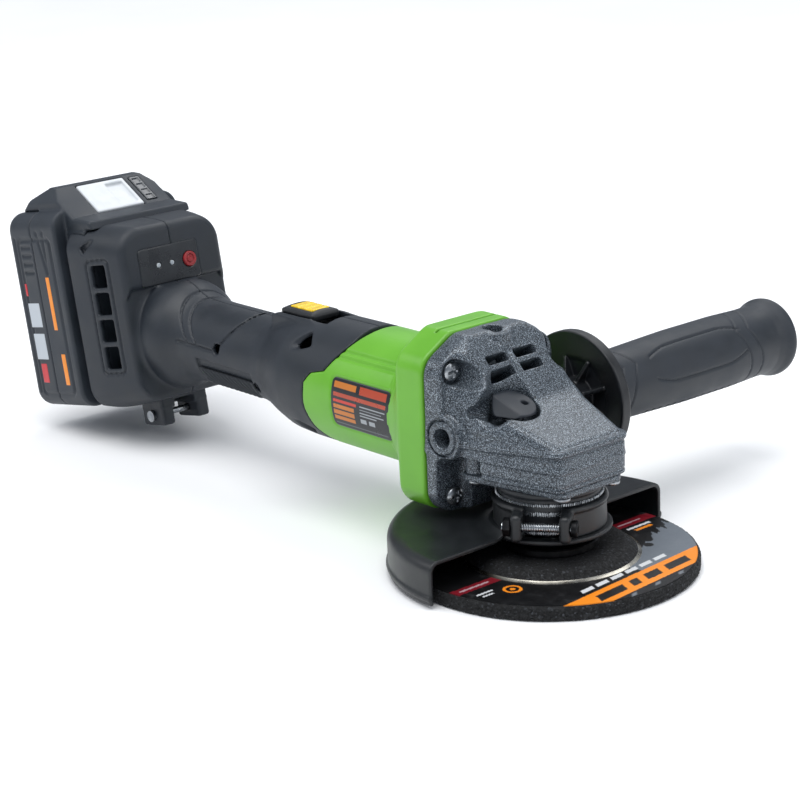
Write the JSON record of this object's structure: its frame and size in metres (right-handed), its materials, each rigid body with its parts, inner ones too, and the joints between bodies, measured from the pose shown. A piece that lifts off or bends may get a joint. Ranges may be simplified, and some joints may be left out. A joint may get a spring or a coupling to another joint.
{
  "type": "angle grinder",
  "caption": "Cordless angle grinder with a depressed-centre wheel, swivelling half guard, side handle and slide-on battery pack.",
  "frame": {"origin": "centre of the socket in the free end of the spindle, on the spindle axis", "axes": "+Z along the spindle, away from the wheel; -X along the motor and grip towards the battery; +Y towards the fitted side handle"},
  "size_m": [0.4091, 0.2456, 0.1236],
  "materials": {
    "hammered_paint": "hammered grey enamel on die-cast aluminium",
    "cast_cover": "die-cast, tumbled",
    "zinc_screw": "zinc plated",
    "ground_steel": "ground",
    "gear_steel": "sintered, oiled",
    "bearing_steel": "polished",
    "sintered_bronze": "sintered",
    "black_oxide_steel": "black oxide",
    "bonded_abrasive": "resin-bonded grit",
    "printed_label": "printed paper",
    "black_enamel": "gloss black enamel",
    "black_nylon": "fine texture",
    "spring_steel": "drawn wire",
    "lamination_steel": "stacked laminations",
    "copper_winding": "enamelled wire",
    "grey_nylon": "moulded",
    "green_nylon": "bright green, satin moulded",
    "rating_plate": "printed foil",
    "dark_nylon": "fine spark-eroded texture",
    "pack_nylon": "fine texture",
    "grip_rubber": "moulded ribs",
    "yellow_inlay": "moulded",
    "circuit_board": "solder mask",
    "panel_film": "smooth film",
    "light_pipe": "diffuse",
    "red_silicone": "soft touch",
    "cell_sleeve": "shrink sleeve",
    "nickel_strip": "nickel plated",
    "terminal_bronze": "tinned",
    "white_nylon": "fine texture",
    "gauge_lens": "smoked lens"
  },
  "bodies": {
    "tool_body": {"gear_case": "hammered_paint", "bearing_cover": "cast_cover", "cover_screws": "zinc_screw", "case_screws": "zinc_screw", "shell_screws": "zinc_screw", "link_screws": "zinc_screw", "clip_screw": "zinc_screw", "spindle_bearing": "bearing_steel", "front_bearing": "bearing_steel", "rear_bearing": "bearing_steel", "spindle_bush": "sintered_bronze", "lock_spring": "spring_steel", "stator_core": "lamination_steel", "stator_coils": "copper_winding", "fan_baffle": "grey_nylon", "motor_housing": "green_nylon", "label_plate": "rating_plate", "left_shell": "dark_nylon", "right_shell": "dark_nylon", "wrench_clip": "dark_nylon", "grip_pads": "grip_rubber", "switch_module": "grey_nylon", "terminal_block": "grey_nylon", "control_board": "circuit_board", "status_panel": "panel_film", "status_lights": "light_pipe"},
    "spindle_group": {"spindle": "ground_steel", "crown_gear": "gear_steel", "inner_flange": "black_oxide_steel", "grinding_wheel": "bonded_abrasive", "wheel_label": "printed_label", "lock_nut": "black_oxide_steel"},
    "rotor_group": {"pinion": "gear_steel", "rotor_shaft": "ground_steel", "rotor_core": "lamination_steel", "cooling_fan": "grey_nylon"},
    "guard_group": {"guard_shell": "black_enamel", "clamp_band": "black_enamel", "clamp_screw": "zinc_screw"},
    "lock_group": {"lock_button": "black_nylon"},
    "handle_group": {"handle_grip": "dark_nylon", "handle_disc": "black_nylon", "handle_stud": "ground_steel"},
    "pack_group": {"pack_cover": "pack_nylon", "pack_case": "pack_nylon", "battery_cells": "cell_sleeve", "cell_holder": "grey_nylon", "cell_straps": "nickel_strip", "pack_board": "circuit_board", "pack_terminals": "terminal_bronze", "gauge_window": "gauge_lens", "release_spring": "spring_steel"},
    "release_group": {"release_button": "white_nylon"},
    "power_group": {"power_button": "red_silicone"},
    "switch_group": {"switch_knob": "black_nylon", "switch_inlay": "yellow_inlay"}
  },
  "joints": [
    {"name": "spindle_spin", "type": "hinge", "parent": "tool_body", "child": "spindle_group", "pos_m": [0, 0, 0.03], "axis": [0, 0, 1], "continuous": true},
    {"name": "rotor_spin", "type": "hinge", "parent": "tool_body", "child": "rotor_group", "pos_m": [-0.06, 0, 0.056], "axis": [1, 0, 0], "continuous": true},
    {"name": "guard_turn", "type": "hinge", "parent": "tool_body", "child": "guard_group", "pos_m": [0, 0, 0.025], "axis": [0, 0, 1], "range_deg": [-60, 90]},
    {"name": "lock_press", "type": "slide", "parent": "tool_body", "child": "lock_group", "axis": [0, 0, -1], "range_m": [0, 0.005], "stiffness_N_per_m": 600, "springref_m": -0.003, "deforming": ["lock_spring"]},
    {"name": "handle_off", "type": "slide", "parent": "tool_body", "child": "handle_group", "axis": [0, 1, 0], "range_m": [0, 0.03]},
    {"name": "battery_slide", "type": "slide", "parent": "tool_body", "child": "pack_group", "axis": [-0.1736, 0, 0.9848], "range_m": [0, 0.085]},
    {"name": "release_press", "type": "slide", "parent": "pack_group", "child": "release_group", "axis": [-0.4884, 0, -0.8726], "range_m": [0, 0.0035], "stiffness_N_per_m": 600, "springref_m": -0.003, "deforming": ["release_spring"]},
    {"name": "power_press", "type": "slide", "parent": "tool_body", "child": "power_group", "axis": [-0.9848, 0, -0.1736], "range_m": [0, 0.0008], "stiffness_N_per_m": 900, "springref_m": -0.0006},
    {"name": "switch_slide", "type": "slide", "parent": "tool_body", "child": "switch_group", "axis": [1, 0, 0], "range_m": [0, 0.008]}
  ],
  "couplings": [
    {"joint": "rotor_spin", "follows": "spindle_spin", "ratio": -3.3636}
  ]
}
